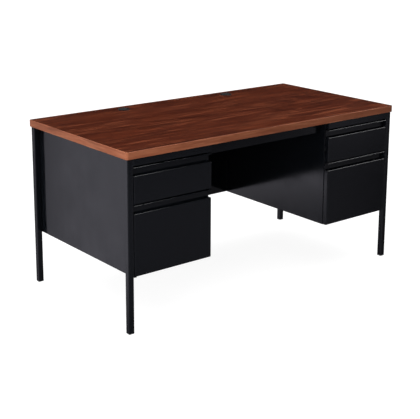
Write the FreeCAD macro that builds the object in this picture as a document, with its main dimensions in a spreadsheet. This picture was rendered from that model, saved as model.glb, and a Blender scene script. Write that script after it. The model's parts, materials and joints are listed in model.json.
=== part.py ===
import FreeCAD, Part
import math
import os
import Sketcher

# A steel teacher desk with two pedestals, each with a box drawer over a file drawer.
# Millimetres. X runs along the width, Y from the drawer fronts (-) to the modesty panel (+),
# Z up. The origin is on the floor under the middle of the worktop.

SIZES = {
    # worktop
    "worktop_width": 1524.0,
    "worktop_depth": 762.0,
    "worktop_height": 749.3,
    "worktop_thickness": 30.0,
    "laminate_thickness": 1.0,
    "backer_thickness": 1.0,
    "band_thickness": 3.0,
    "corner_radius": 10.0,
    # legs and glides
    "side_overhang": 7.0,
    "front_overhang": 6.0,
    "leg_size": 25.4,
    "leg_wall": 1.6,
    "leg_corner": 3.8,
    "glide_height": 6.0,
    "glide_chamfer": 1.5,
    "glide_plug_height": 18.0,
    "glide_plug_slack": 0.1,
    # case
    "case_sheet": 1.2,
    "case_bottom": 234.0,
    "case_back": 340.4,
    "kneehole_half_width": 340.4,
    "end_panel_setback": 2.0,
    "upper_flange": 20.0,
    "lower_flange": 15.0,
    "header_height": 31.3,
    "header_flange_drop": 2.3,
    "divider_bottom": 524.0,
    "divider_height": 16.0,
    "divider_flange": 18.0,
    "base_lip": 12.0,
    "kneehole_rail_front": 323.0,
    "kneehole_rail_height": 54.3,
    "modesty_lap": 20.0,
    # drawer fronts
    "front_depth": 21.0,
    "front_side_gap": 3.0,
    "closing_gap": 4.5,
    "box_front_bottom": 533.5,
    "box_front_top": 648.5,
    "file_front_bottom": 237.0,
    "file_front_top": 494.5,
    "pull_rise": 34.5,
    "pull_lip_drop": 5.0,
    "pull_hem_depth": 6.0,
    "pull_trough_drop": 12.0,
    # drawer bodies
    "tray_sheet": 1.0,
    "tray_length": 630.0,
    "tray_lip": 8.0,
    "box_tray_bottom": 546.0,
    "box_tray_height": 90.0,
    "file_tray_bottom": 252.0,
    "file_tray_height": 248.0,
    "hanging_rail_spacing": 305.0,
    "hanging_rail_thickness": 2.5,
    "hanging_rail_height": 14.0,
    "hanging_rail_drop": 2.0,
    # slides
    "slide_space": 12.7,
    "slide_length": 600.0,
    "slide_front_gap": 8.0,
    "slide_sheet": 1.2,
    "box_slide_centre": 591.0,
    "box_slide_height": 35.0,
    "box_slide_flange": 7.8,
    "box_runner_height": 24.0,
    "box_runner_flange": 7.0,
    "cage_offset": 2.0,
    "cage_sheet": 0.8,
    "cage_height": 29.1,
    "cage_flange": 5.7,
    "cage_length": 300.0,
    "ball_radius": 1.9,
    "ball_offset": 5.5,
    "ball_end_gap": 12.0,
    "file_slide_centre": 380.0,
    "file_slide_height": 45.0,
    "file_slide_flange": 7.8,
    "file_middle_offset": 3.6,
    "file_middle_sheet": 1.0,
    "file_middle_height": 37.0,
    "file_middle_flange": 6.0,
    "file_runner_height": 27.0,
    "file_runner_flange": 5.0,
    # cable grommets
    "grommet_x": 306.0,
    "grommet_y": 312.0,
    "grommet_hole_radius": 25.5,
    "sleeve_radius": 25.3,
    "sleeve_bore_radius": 23.7,
    "sleeve_length": 22.0,
    "sleeve_flange_radius": 28.5,
    "sleeve_flange_height": 2.0,
    "cap_radius": 26.4,
    "cap_height": 2.0,
    "cap_spigot_radius": 23.4,
    "cap_spigot_wall": 1.5,
    "cap_spigot_length": 8.0,
    "cap_edge": 0.8,
    "cap_slot_start": 7.0,
    "cap_slot_width": 16.0,
    "cap_turn": -50.0,
    # screws into the worktop
    "screw_flange_inset": 10.0,
    "screw_pedestal_y": 230.0,
    "screw_kneehole_x": 150.0,
    "screw_head_radius": 4.0,
    "screw_head_height": 2.5,
    "screw_radius": 2.0,
    "screw_length": 16.0,
    "screw_hole_radius": 2.3,
    "pilot_radius": 2.1,
    "pilot_depth": 15.0,
    "flange_hole_depth": 3.0,
}

BALLS_IN_A_ROW = 9
SIDES = {"left": -1, "right": 1}
PARTS_FOLDER = "parts"

document = FreeCAD.newDocument("TeacherDesk")
sheet = document.addObject("Spreadsheet::Sheet", "Sizes")
subparts = []


# ---------------------------------------------------------------- sizes


class Size:
    """A length that carries its number and the spreadsheet expression that gives it."""

    def __init__(self, value, text):
        self.value = value
        self.text = text

    def __add__(self, other):
        return Size(self.value + as_size(other).value, "(%s + %s)" % (self.text, as_size(other).text))

    def __sub__(self, other):
        return Size(self.value - as_size(other).value, "(%s - %s)" % (self.text, as_size(other).text))

    def __mul__(self, factor):
        return Size(self.value * factor, "(%s * %s)" % (self.text, factor))

    def __truediv__(self, divisor):
        return Size(self.value / divisor, "(%s / %s)" % (self.text, divisor))

    def __neg__(self):
        return self * -1


def as_size(value):
    return value if isinstance(value, Size) else Size(value, str(value))


def size(alias):
    return Size(SIZES[alias], "Sizes." + alias)


def fill_sheet():
    for row, (alias, value) in enumerate(SIZES.items(), start=1):
        sheet.set("A%d" % row, alias)
        sheet.set("B%d" % row, str(value))
        sheet.setAlias("B%d" % row, alias)
    document.recompute()


def span(side, near, far):
    """Low and high X limits of something from near to far on one side of the desk."""
    return (near, far) if side > 0 else (-far, -near)


# ---------------------------------------------------------------- sketches and solids


def fix_point(sketch, geometry, vertex, x, y):
    for kind, length in (("DistanceX", x), ("DistanceY", y)):
        index = sketch.addConstraint(Sketcher.Constraint(kind, -1, 1, geometry, vertex, length.value))
        sketch.setExpression("Constraints[%d]" % index, length.text)


def fix_radius(sketch, geometry, radius):
    index = sketch.addConstraint(Sketcher.Constraint("Radius", geometry, radius.value))
    sketch.setExpression("Constraints[%d]" % index, radius.text)


def draw_outline(sketch, points):
    """A closed outline of straight lines through the points."""
    first = sketch.GeometryCount
    corners = [FreeCAD.Vector(x.value, y.value, 0) for x, y in points]
    for start, end in zip(corners, corners[1:] + corners[:1]):
        sketch.addGeometry(Part.LineSegment(start, end), False)
    for index, (x, y) in enumerate(points):
        following = first + (index + 1) % len(points)
        sketch.addConstraint(Sketcher.Constraint("Coincident", first + index, 2, following, 1))
        fix_point(sketch, first + index, 1, x, y)


def draw_circle(sketch, x, y, radius):
    centre = FreeCAD.Vector(x.value, y.value, 0)
    circle = sketch.addGeometry(Part.Circle(centre, FreeCAD.Vector(0, 0, 1), radius.value), False)
    fix_point(sketch, circle, 3, x, y)
    fix_radius(sketch, circle, radius)


def draw_rounded_rectangle(sketch, half_x, half_y, radius):
    """Four corner arcs about the sketch's origin, joined by four tangent lines."""
    arcs = []
    for corner, (sign_x, sign_y) in enumerate(((1, 1), (-1, 1), (-1, -1), (1, -1))):
        x = (half_x - radius) * sign_x
        y = (half_y - radius) * sign_y
        circle = Part.Circle(FreeCAD.Vector(x.value, y.value, 0), FreeCAD.Vector(0, 0, 1), radius.value)
        start = corner * math.pi / 2
        arc = sketch.addGeometry(Part.ArcOfCircle(circle, start, start + math.pi / 2), False)
        fix_point(sketch, arc, 3, x, y)
        fix_radius(sketch, arc, radius)
        arcs.append(arc)
    for arc, following in zip(arcs, arcs[1:] + arcs[:1]):
        ends = sketch.getPoint(arc, 2), sketch.getPoint(following, 1)
        line = sketch.addGeometry(Part.LineSegment(*ends), False)
        sketch.addConstraint(Sketcher.Constraint("Tangent", arc, 2, line, 1))
        sketch.addConstraint(Sketcher.Constraint("Tangent", line, 2, following, 1))


def new_body(label, x, y, z):
    body = document.addObject("PartDesign::Body", label)
    body.Label = label
    for axis, position in zip("xyz", (x, y, z)):
        body.setExpression("Placement.Base." + axis, as_size(position).text)
    return body


def new_sketch(body, plane, name):
    """A sketch on one of the body's own origin planes."""
    sketch = body.newObject("Sketcher::SketchObject", name)
    support = [feature for feature in body.Origin.OriginFeatures if feature.Role == plane][0]
    sketch.AttachmentSupport = [(support, "")]
    sketch.MapMode = "FlatFace"
    return sketch


def pad(body, sketch, length, backwards=False):
    feature = body.newObject("PartDesign::Pad", sketch.Name + "_pad")
    feature.Profile = sketch
    feature.Reversed = backwards
    feature.setExpression("Length", length.text)
    body.Tip = feature
    return feature


def cut_pocket(body, sketch, depth, upwards):
    """A pocket from the sketch's plane, which must take something away."""
    document.recompute()
    before = body.Shape.Volume
    feature = body.newObject("PartDesign::Pocket", sketch.Name + "_pocket")
    feature.Profile = sketch
    feature.Reversed = upwards
    feature.setExpression("Length", depth.text)
    body.Tip = feature
    document.recompute()
    if body.Shape.Volume >= before:
        raise RuntimeError("the pocket in %s cut nothing" % body.Label)


def turned(label, outline, x, y, z):
    """A body turned about its own Z axis from an outline of radius and height."""
    body = new_body(label, x, y, z)
    sketch = new_sketch(body, "XZ_Plane", label + "_section")
    draw_outline(sketch, outline)
    feature = body.newObject("PartDesign::Revolution", label + "_turn")
    feature.Profile = sketch
    feature.ReferenceAxis = (sketch, ["V_Axis"])
    feature.Angle = 360
    body.Tip = feature
    return body


def along_y(label, outline, y_span, x, z):
    """A straight section in X and Z, padded from the low to the high Y limit."""
    body = new_body(label, x, y_span[0], z)
    sketch = new_sketch(body, "XZ_Plane", label + "_section")
    draw_outline(sketch, outline)
    pad(body, sketch, y_span[1] - y_span[0], backwards=True)
    return body


def along_x(label, outline, x_span, z):
    """A straight section in Y and Z, padded from the low to the high X limit."""
    body = new_body(label, x_span[0], 0, z)
    sketch = new_sketch(body, "YZ_Plane", label + "_section")
    draw_outline(sketch, outline)
    pad(body, sketch, x_span[1] - x_span[0])
    return body


def block(label, x_span, y_span, z_span):
    solid = document.addObject("Part::Box", label)
    solid.Label = label
    limits = (x_span, y_span, z_span)
    for axis, length, (low, high) in zip("xyz", ("Length", "Width", "Height"), limits):
        solid.setExpression(length, (high - low).text)
        solid.setExpression("Placement.Base." + axis, low.text)
    return solid


def fused(label, pieces):
    solid = document.addObject("Part::MultiFuse", label)
    solid.Label = label
    solid.Shapes = pieces
    solid.Refine = True
    return solid


def group(label, pieces):
    compound = document.addObject("Part::Compound", label)
    compound.Label = label
    compound.Links = pieces
    return compound


def copies(label, master, places):
    """Identical fasteners or feet: one shape copied to each place, as separate solids."""
    document.recompute()
    solids = []
    for x, y, z in places:
        solid = master.Shape.copy()
        solid.translate(FreeCAD.Vector(x.value, y.value, z.value))
        solids.append(solid)
    feature = document.addObject("Part::Feature", label)
    feature.Label = label
    feature.Shape = Part.makeCompound(solids)
    return feature


def channel(face, direction, sheet_size, bottom, top, lower_flange, upper_flange):
    """A folded channel: a web at face, with both flanges turned towards direction."""
    inside = face + sheet_size * direction
    lower_end = inside + lower_flange * direction
    upper_end = inside + upper_flange * direction
    return [
        (face, top),
        (face, bottom),
        (lower_end, bottom),
        (lower_end, bottom + sheet_size),
        (inside, bottom + sheet_size),
        (inside, top - sheet_size),
        (upper_end, top - sheet_size),
        (upper_end, top),
    ]


# ---------------------------------------------------------------- shared planes


case_sheet = size("case_sheet")
underside = size("worktop_height") - size("worktop_thickness")
leg_outer_x = size("worktop_width") / 2 - size("side_overhang")
leg_inner_x = leg_outer_x - size("leg_size")
leg_outer_y = size("worktop_depth") / 2 - size("front_overhang")
end_panel_inside = leg_inner_x - case_sheet
inner_panel_inside = size("kneehole_half_width") + case_sheet
front_plane = -leg_outer_y
fronts_back = front_plane + size("front_depth")
case_front = fronts_back + size("closing_gap")
case_back = size("case_back")
case_drop = size("case_bottom") - underside
pedestal_centre = (inner_panel_inside + end_panel_inside) / 2
tray_half_width = (end_panel_inside - inner_panel_inside) / 2 - size("slide_space")
tray_back = fronts_back + size("tray_length")
slide_front = case_front + size("slide_front_gap")


# ---------------------------------------------------------------- worktop


def screw_places():
    """X and Y of each screw, grouped by the flange that it goes through."""
    flange_x = {
        "end": end_panel_inside - size("screw_flange_inset"),
        "inner": inner_panel_inside + size("screw_flange_inset"),
    }
    places = {}
    for side_name, side in SIDES.items():
        for panel, x in flange_x.items():
            rows = (-size("screw_pedestal_y"), size("screw_pedestal_y"))
            places[panel + "_" + side_name] = [(x * side, y) for y in rows]
    columns = (-size("screw_kneehole_x"), size("screw_kneehole_x"))
    rail_y = -size("kneehole_rail_front") + case_sheet + size("screw_flange_inset")
    modesty_y = case_back + case_sheet * 2 + size("screw_flange_inset")
    places["rail"] = [(x, rail_y) for x in columns]
    places["modesty"] = [(x, modesty_y) for x in columns]
    return places


def drill(body, name, places, origin_x, origin_y, radius, depth, upwards):
    """Holes from the body's own XY plane, whose origin is at origin_x and origin_y."""
    sketch = new_sketch(body, "XY_Plane", name)
    for x, y in places:
        draw_circle(sketch, x - origin_x, y - origin_y, radius)
    cut_pocket(body, sketch, depth, upwards)


def worktop_layer(label, low, thickness):
    """A sheet of the worktop inside the edge band, bored for both grommets."""
    body = new_body(label, 0, 0, low)
    sketch = new_sketch(body, "XY_Plane", label + "_outline")
    half_x = size("worktop_width") / 2 - size("band_thickness")
    half_y = size("worktop_depth") / 2 - size("band_thickness")
    draw_rounded_rectangle(sketch, half_x, half_y, size("corner_radius") - size("band_thickness"))
    for side in SIDES.values():
        draw_circle(sketch, size("grommet_x") * side, size("grommet_y"), size("grommet_hole_radius"))
    pad(body, sketch, thickness)
    return body


def make_worktop():
    every_place = [place for places in screw_places().values() for place in places]
    origin = as_size(0)

    backer = worktop_layer("worktop_backer", underside, size("backer_thickness"))
    drill(backer, "backer_holes", every_place, origin, origin,
          size("screw_hole_radius"), size("flange_hole_depth"), upwards=True)

    core_thickness = size("worktop_thickness") - size("backer_thickness") - size("laminate_thickness")
    core = worktop_layer("worktop_core", underside + size("backer_thickness"), core_thickness)
    drill(core, "core_pilots", every_place, origin, origin,
          size("pilot_radius"), size("pilot_depth"), upwards=True)

    laminate_low = size("worktop_height") - size("laminate_thickness")
    laminate = worktop_layer("worktop_laminate", laminate_low, size("laminate_thickness"))

    band = new_body("edge_band", 0, 0, underside)
    ring = new_sketch(band, "XY_Plane", "edge_band_outline")
    half_x = size("worktop_width") / 2
    half_y = size("worktop_depth") / 2
    thin = size("band_thickness")
    draw_rounded_rectangle(ring, half_x, half_y, size("corner_radius"))
    draw_rounded_rectangle(ring, half_x - thin, half_y - thin, size("corner_radius") - thin)
    pad(band, ring, size("worktop_thickness"))

    screw = turned("screw_master", [
        (origin, -size("screw_head_height")),
        (size("screw_head_radius"), -size("screw_head_height")),
        (size("screw_head_radius"), origin),
        (size("screw_radius"), origin),
        (size("screw_radius"), size("screw_length")),
        (origin, size("screw_length")),
    ], 0, 0, 0)
    places = [(x, y, underside - case_sheet) for x, y in every_place]
    screws = copies("worktop_screws", screw, places)
    subparts.extend([backer, core, laminate, band, screws])


def make_grommet(side_name, side):
    """A flanged sleeve through the worktop and the slotted cap that turns in it."""
    x = size("grommet_x") * side
    y = size("grommet_y")
    origin = as_size(0)
    edge = size("cap_edge")

    rim = size("sleeve_flange_height")
    sleeve = turned("grommet_sleeve_" + side_name, [
        (size("sleeve_bore_radius"), -size("sleeve_length")),
        (size("sleeve_radius"), -size("sleeve_length")),
        (size("sleeve_radius"), origin),
        (size("sleeve_flange_radius"), origin),
        (size("sleeve_flange_radius"), rim - edge),
        (size("sleeve_flange_radius") - edge, rim),
        (size("sleeve_bore_radius"), rim),
    ], x, y, size("worktop_height"))

    low = size("cap_spigot_length")
    high = low + size("cap_height")
    spigot_inside = size("cap_spigot_radius") - size("cap_spigot_wall")
    cap_z = size("worktop_height") + rim - low
    cap = turned("grommet_cap_" + side_name, [
        (origin, low),
        (spigot_inside, low),
        (spigot_inside, origin),
        (size("cap_spigot_radius"), origin),
        (size("cap_spigot_radius"), low),
        (size("cap_radius"), low),
        (size("cap_radius"), high - edge),
        (size("cap_radius") - edge, high),
        (origin, high),
    ], x, y, cap_z)
    slot = new_sketch(cap, "XY_Plane", "grommet_slot_" + side_name)
    half_slot = size("cap_slot_width") / 2
    draw_outline(slot, [
        (size("cap_slot_start"), -half_slot),
        (size("sleeve_flange_radius"), -half_slot),
        (size("sleeve_flange_radius"), half_slot),
        (size("cap_slot_start"), half_slot),
    ])
    cut_pocket(cap, slot, high, upwards=True)
    cap.setExpression("Placement.Rotation.Angle", size("cap_turn").text)
    subparts.extend([sleeve, cap])


# ---------------------------------------------------------------- legs


def make_legs():
    half = size("leg_size") / 2
    centre_x = leg_outer_x - half
    centre_y = leg_outer_y - half
    wall = size("leg_wall")
    for side_name, side in SIDES.items():
        for row_name, row in (("front", -1), ("rear", 1)):
            label = "leg_%s_%s" % (row_name, side_name)
            leg = new_body(label, centre_x * side, centre_y * row, size("glide_height"))
            tube = new_sketch(leg, "XY_Plane", label + "_section")
            draw_rounded_rectangle(tube, half, half, size("leg_corner"))
            draw_rounded_rectangle(tube, half - wall, half - wall, size("leg_corner") - wall)
            pad(leg, tube, underside - size("glide_height"))
            subparts.append(leg)

    glide = new_body("glide_master", 0, 0, 0)
    foot = new_sketch(glide, "XY_Plane", "glide_foot")
    draw_rounded_rectangle(foot, half, half, size("leg_corner"))
    foot_pad = pad(glide, foot, size("glide_height"))
    document.recompute()
    floor_edges = [
        "Edge%d" % number
        for number, edge in enumerate(foot_pad.Shape.Edges, start=1)
        if edge.BoundBox.ZMax < size("glide_height").value / 2
    ]
    chamfer = glide.newObject("PartDesign::Chamfer", "glide_chamfer")
    chamfer.Base = (foot_pad, floor_edges)
    chamfer.setExpression("Size", size("glide_chamfer").text)
    glide.Tip = chamfer
    plug = new_sketch(glide, "XY_Plane", "glide_plug")
    plug_half = half - wall - size("glide_plug_slack")
    draw_rounded_rectangle(plug, plug_half, plug_half, size("leg_corner") - wall)
    pad(glide, plug, size("glide_height") + size("glide_plug_height"))
    floor = as_size(0)
    places = [(centre_x * side, centre_y * row, floor) for side in (-1, 1) for row in (-1, 1)]
    subparts.append(copies("leg_glides", glide, places))


# ---------------------------------------------------------------- case


def make_kneehole():
    """The set-back rail under the worktop's front and the modesty panel behind the knees."""
    places = screw_places()
    top = as_size(0)
    half = size("kneehole_half_width")

    rail_face = -size("kneehole_rail_front")
    section = channel(rail_face, 1, case_sheet, -size("kneehole_rail_height"), top,
                      size("lower_flange"), size("upper_flange"))
    rail = along_x("kneehole_rail", section, (-half, half), underside)
    drill(rail, "kneehole_rail_holes", places["rail"], -half, top,
          size("screw_hole_radius"), size("flange_hole_depth"), upwards=False)

    panel_face = case_back + case_sheet
    section = channel(panel_face, 1, case_sheet, case_drop, top,
                      size("lower_flange"), size("upper_flange"))
    reach = half + size("modesty_lap")
    modesty = along_x("modesty_panel", section, (-reach, reach), underside)
    drill(modesty, "modesty_panel_holes", places["modesty"], -reach, top,
          size("screw_hole_radius"), size("flange_hole_depth"), upwards=False)
    subparts.extend([rail, modesty])


def make_side_panels(side_name, side):
    """The end panel between the legs and the inner panel beside the knees."""
    places = screw_places()
    top = as_size(0)
    flanges = (size("lower_flange"), size("upper_flange"))
    end_reach = leg_outer_y - size("end_panel_setback")
    panels = (
        ("end", leg_inner_x * side, -side, (-end_reach, end_reach)),
        ("inner", size("kneehole_half_width") * side, side, (case_front, case_back)),
    )
    for name, face, direction, y_span in panels:
        label = "%s_panel_%s" % (name, side_name)
        section = channel(face, direction, case_sheet, case_drop, top, *flanges)
        panel = along_y(label, section, y_span, 0, underside)
        drill(panel, label + "_holes", places[name + "_" + side_name], top, y_span[0],
              size("screw_hole_radius"), size("flange_hole_depth"), upwards=False)
        subparts.append(panel)


def make_case(side_name, side):
    """Back, base, header over the drawers and divider between them."""
    inside = span(side, inner_panel_inside, end_panel_inside)
    outside = span(side, size("kneehole_half_width"), end_panel_inside)
    back = block("pedestal_back_" + side_name, outside, (case_back, case_back + case_sheet),
                 (size("case_bottom") + case_sheet, underside - case_sheet))

    base_low = size("case_bottom") + case_sheet
    base_high = base_low + case_sheet
    base = along_x("pedestal_base_" + side_name, [
        (case_front, base_low),
        (case_back, base_low),
        (case_back, base_high),
        (case_front + case_sheet, base_high),
        (case_front + case_sheet, base_low + size("base_lip")),
        (case_front, base_low + size("base_lip")),
    ], inside, 0)

    low = underside - size("header_height")
    trough_top = underside - size("header_flange_drop")
    trough = along_x("header_trough_" + side_name, [
        (front_plane, underside),
        (front_plane, low),
        (case_front, low),
        (case_front, trough_top),
        (case_front - case_sheet, trough_top),
        (case_front - case_sheet, low + case_sheet),
        (front_plane + case_sheet, low + case_sheet),
        (front_plane + case_sheet, underside),
    ], outside, 0)
    tab = block("header_end_" + side_name, span(side, size("kneehole_half_width"), inner_panel_inside),
                (front_plane + case_sheet, case_front - case_sheet), (low + case_sheet, trough_top))
    header = fused("header_rail_" + side_name, [trough, tab])

    divider_top = size("divider_bottom") + size("divider_height")
    section = channel(case_front, 1, case_sheet, size("divider_bottom"), divider_top,
                      size("divider_flange"), size("divider_flange"))
    divider = along_x("divider_rail_" + side_name, section, inside, 0)
    subparts.extend([back, base, header, divider])


# ---------------------------------------------------------------- slides


def slide_walls(side):
    """The two faces that a drawer's slides are fixed to, with the way from each to the drawer."""
    return ((inner_panel_inside * side, side), (end_panel_inside * side, -side))


def slide_pair(label, kind, side, outline_for, y_span):
    """One member of both slides of a drawer, inner side and outer side."""
    members = []
    for number, (wall, inwards) in enumerate(slide_walls(side), start=1):
        name = "%s_%d" % (label, number)
        members.append(along_y(name, outline_for(wall, inwards), y_span, 0, size(kind + "_slide_centre")))
    return group(label, members)


def centred_channel(face, direction, sheet_size, height, flange):
    return channel(face, direction, sheet_size, -height / 2, height / 2, flange, flange)


def make_slides(kind, side_name, side):
    """The fixed member on the case and the runner on the drawer."""
    y_span = (slide_front, slide_front + size("slide_length"))

    def fixed_outline(wall, inwards):
        return centred_channel(wall, inwards, size("slide_sheet"),
                               size(kind + "_slide_height"), size(kind + "_slide_flange"))

    def runner_outline(wall, inwards):
        return centred_channel(wall + size("slide_space") * inwards, -inwards, size("slide_sheet"),
                               size(kind + "_runner_height"), size(kind + "_runner_flange"))

    fixed = slide_pair("%s_slide_fixed_%s" % (kind, side_name), kind, side, fixed_outline, y_span)
    runner = slide_pair("%s_slide_runner_%s" % (kind, side_name), kind, side, runner_outline, y_span)
    subparts.extend([fixed, runner])


def make_middle_members(side_name, side):
    """The middle member that lets the file drawer come all the way out."""
    def outline(wall, inwards):
        return centred_channel(wall + size("file_middle_offset") * inwards, inwards,
                               size("file_middle_sheet"), size("file_middle_height"),
                               size("file_middle_flange"))

    y_span = (slide_front, slide_front + size("slide_length"))
    label = "file_slide_middle_" + side_name
    subparts.append(slide_pair(label, "file", side, outline, y_span))


def make_ball_cages(side_name, side):
    """The strip that holds the two rows of balls between a box drawer's slide members."""
    def outline(wall, inwards):
        return centred_channel(wall + size("cage_offset") * inwards, inwards,
                               size("cage_sheet"), size("cage_height"), size("cage_flange"))

    y_span = (slide_front, slide_front + size("cage_length"))
    label = "box_slide_cage_" + side_name
    cages = slide_pair(label, "box", side, outline, y_span)
    ball_height = (size("cage_height") - size("cage_sheet")) / 2
    for body, (wall, inwards) in zip(cages.Links, slide_walls(side)):
        balls = []
        for row in (-1, 1):
            ball = body.newObject("PartDesign::AdditiveSphere", "ball")
            ball.setExpression("Radius", size("ball_radius").text)
            place = (wall + size("ball_offset") * inwards, size("ball_end_gap"), ball_height * row)
            for axis, position in zip("xyz", place):
                ball.setExpression("Placement.Base." + axis, position.text)
            balls.append(ball)
        pattern = body.newObject("PartDesign::LinearPattern", "ball_row")
        pattern.Originals = balls
        along = [feature for feature in body.Origin.OriginFeatures if feature.Role == "Y_Axis"][0]
        pattern.Direction = (along, [""])
        pattern.Occurrences = BALLS_IN_A_ROW
        run = size("cage_length") - size("ball_end_gap") * 2
        pattern.setExpression("Length", run.text)
        body.Tip = pattern
    subparts.append(cages)


# ---------------------------------------------------------------- drawers


def make_drawer_front(kind, side_name, side):
    """The folded face with its trough, and the plate behind it that ends in the pull's lip."""
    low = size(kind + "_front_bottom")
    high = size(kind + "_front_top")
    x_span = span(side, size("kneehole_half_width"), end_panel_inside - size("front_side_gap"))
    face_back = front_plane + case_sheet
    plate_front = fronts_back - case_sheet
    hem_back = front_plane + size("pull_hem_depth")
    trough_top = high - size("pull_trough_drop")

    folded = along_x("%s_face_%s" % (kind, side_name), [
        (front_plane, low),
        (plate_front, low),
        (plate_front, low + case_sheet),
        (face_back, low + case_sheet),
        (face_back, high - case_sheet),
        (hem_back - case_sheet, high - case_sheet),
        (hem_back - case_sheet, trough_top - case_sheet),
        (plate_front, trough_top - case_sheet),
        (plate_front, trough_top),
        (hem_back, trough_top),
        (hem_back, high),
        (front_plane, high),
    ], x_span, 0)
    returns = []
    for number, edge in enumerate(x_span):
        inner_edge = edge + case_sheet * (1 - 2 * number)
        limits = (edge, inner_edge) if number == 0 else (inner_edge, edge)
        name = "%s_return_%s_%d" % (kind, side_name, number + 1)
        returns.append(block(name, limits, (face_back, plate_front), (low, high)))
    front = fused("%s_front_panel_%s" % (kind, side_name), [folded] + returns)

    lip_top = high + size("pull_rise")
    plate = along_x("%s_inner_front_%s" % (kind, side_name), [
        (fronts_back, low),
        (fronts_back, lip_top),
        (front_plane, lip_top),
        (front_plane, lip_top - size("pull_lip_drop")),
        (face_back, lip_top - size("pull_lip_drop")),
        (face_back, lip_top - case_sheet),
        (plate_front, lip_top - case_sheet),
        (plate_front, low),
    ], x_span, 0)
    subparts.extend([front, plate])


def make_tray(kind, side_name, side):
    """The folded drawer body with rolled-in top edges, and its back wall."""
    half = tray_half_width
    lip = size("tray_lip")
    thin = size("tray_sheet")
    high = size(kind + "_tray_height")
    floor = as_size(0)
    right_side = [
        (half, floor),
        (half, high),
        (half - lip, high),
        (half - lip, high - thin),
        (half - thin, high - thin),
        (half - thin, thin),
    ]
    left_side = [(-x, z) for x, z in reversed(right_side)]
    centre = pedestal_centre * side
    bottom = size(kind + "_tray_bottom")
    tray = along_y("%s_tray_%s" % (kind, side_name), right_side + left_side,
                   (fronts_back, tray_back), centre, bottom)
    back = block("%s_back_wall_%s" % (kind, side_name), (centre - half + thin, centre + half - thin),
                 (tray_back - thin, tray_back), (bottom + thin, bottom + high - thin))
    subparts.extend([tray, back])


def make_hanging_rails(side_name, side):
    """Two bars that letter-size hanging folders slide along."""
    centre = pedestal_centre * side
    top = size("file_tray_bottom") + size("file_tray_height") - size("hanging_rail_drop")
    z_span = (top - size("hanging_rail_height"), top)
    y_span = (fronts_back, tray_back - size("tray_sheet"))
    half = size("hanging_rail_spacing") / 2
    thick = size("hanging_rail_thickness")
    limits = ((centre - half - thick, centre - half), (centre + half, centre + half + thick))
    rails = []
    for number, x_span in enumerate(limits, start=1):
        rails.append(block("hanging_rail_%s_%d" % (side_name, number), x_span, y_span, z_span))
    subparts.append(group("file_hanging_rails_" + side_name, rails))


# ---------------------------------------------------------------- build and write


def build_desk():
    fill_sheet()
    make_worktop()
    make_legs()
    make_kneehole()
    for side_name, side in SIDES.items():
        make_grommet(side_name, side)
        make_side_panels(side_name, side)
        make_case(side_name, side)
        for kind in ("box", "file"):
            make_slides(kind, side_name, side)
            make_drawer_front(kind, side_name, side)
            make_tray(kind, side_name, side)
        make_ball_cages(side_name, side)
        make_middle_members(side_name, side)
        make_hanging_rails(side_name, side)
    document.recompute()


def check_document():
    for item in document.Objects:
        if "Invalid" in item.State or "Error" in item.State:
            raise RuntimeError("%s did not compute: %s" % (item.Label, item.State))
    for subpart in subparts:
        shape = subpart.Shape
        if shape.isNull() or not shape.isValid() or not shape.Solids:
            raise RuntimeError("%s has no valid solid" % subpart.Label)


def write_parts():
    os.makedirs(PARTS_FOLDER, exist_ok=True)
    for subpart in subparts:
        subpart.Shape.exportStep(os.path.join(PARTS_FOLDER, subpart.Label + ".step"))
    print("%d sub-parts written" % len(subparts))


build_desk()
check_document()
write_parts()
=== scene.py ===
"""A steel teacher desk: folded sheets with real bends, wood laminate, drawer slides, light and camera."""
import json
import math

import bmesh
import bpy
from mathutils import Matrix, Vector


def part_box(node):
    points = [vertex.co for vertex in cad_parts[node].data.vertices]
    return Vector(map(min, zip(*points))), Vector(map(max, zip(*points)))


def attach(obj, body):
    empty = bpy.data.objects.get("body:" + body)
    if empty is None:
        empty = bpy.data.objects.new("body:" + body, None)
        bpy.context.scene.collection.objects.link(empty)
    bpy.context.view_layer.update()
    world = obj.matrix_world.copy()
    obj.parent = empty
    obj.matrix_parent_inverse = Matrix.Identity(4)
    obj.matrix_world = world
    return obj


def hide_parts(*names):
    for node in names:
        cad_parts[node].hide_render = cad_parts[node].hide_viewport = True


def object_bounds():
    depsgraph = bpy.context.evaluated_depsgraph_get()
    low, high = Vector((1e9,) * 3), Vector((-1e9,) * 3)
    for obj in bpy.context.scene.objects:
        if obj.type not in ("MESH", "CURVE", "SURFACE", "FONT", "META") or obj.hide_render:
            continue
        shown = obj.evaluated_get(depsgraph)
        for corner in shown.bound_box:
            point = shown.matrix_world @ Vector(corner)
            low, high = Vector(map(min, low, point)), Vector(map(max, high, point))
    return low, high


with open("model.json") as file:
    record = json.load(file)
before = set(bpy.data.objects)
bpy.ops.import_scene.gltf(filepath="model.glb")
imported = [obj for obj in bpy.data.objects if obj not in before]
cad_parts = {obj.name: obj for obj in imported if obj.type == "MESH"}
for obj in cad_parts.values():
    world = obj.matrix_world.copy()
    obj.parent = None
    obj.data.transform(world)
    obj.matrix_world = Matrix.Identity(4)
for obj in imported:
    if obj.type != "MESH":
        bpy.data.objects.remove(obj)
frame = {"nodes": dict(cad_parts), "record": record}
cad_low, cad_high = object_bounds()
CENTRE = (cad_low + cad_high) / 2
MM = 0.001
SIDES = ("left", "right")
KINDS = ("box", "file")

# ------------------------------------------------------------ camera

CAMERA_TURN = math.radians(38.93)       # from straight in front of the drawers towards the left end
CAMERA_PITCH = math.radians(12.47)
CAMERA_ROLL = math.radians(0.34)
CAMERA_DISTANCE = 4.60
CAMERA_AIM = Vector((0.012, 0.073, 0.296))    # from the desk's centre
CAMERA_LENS = 84.77
CAMERA_SHIFT = -0.20            # keeps the legs nearly upright in the view


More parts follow.
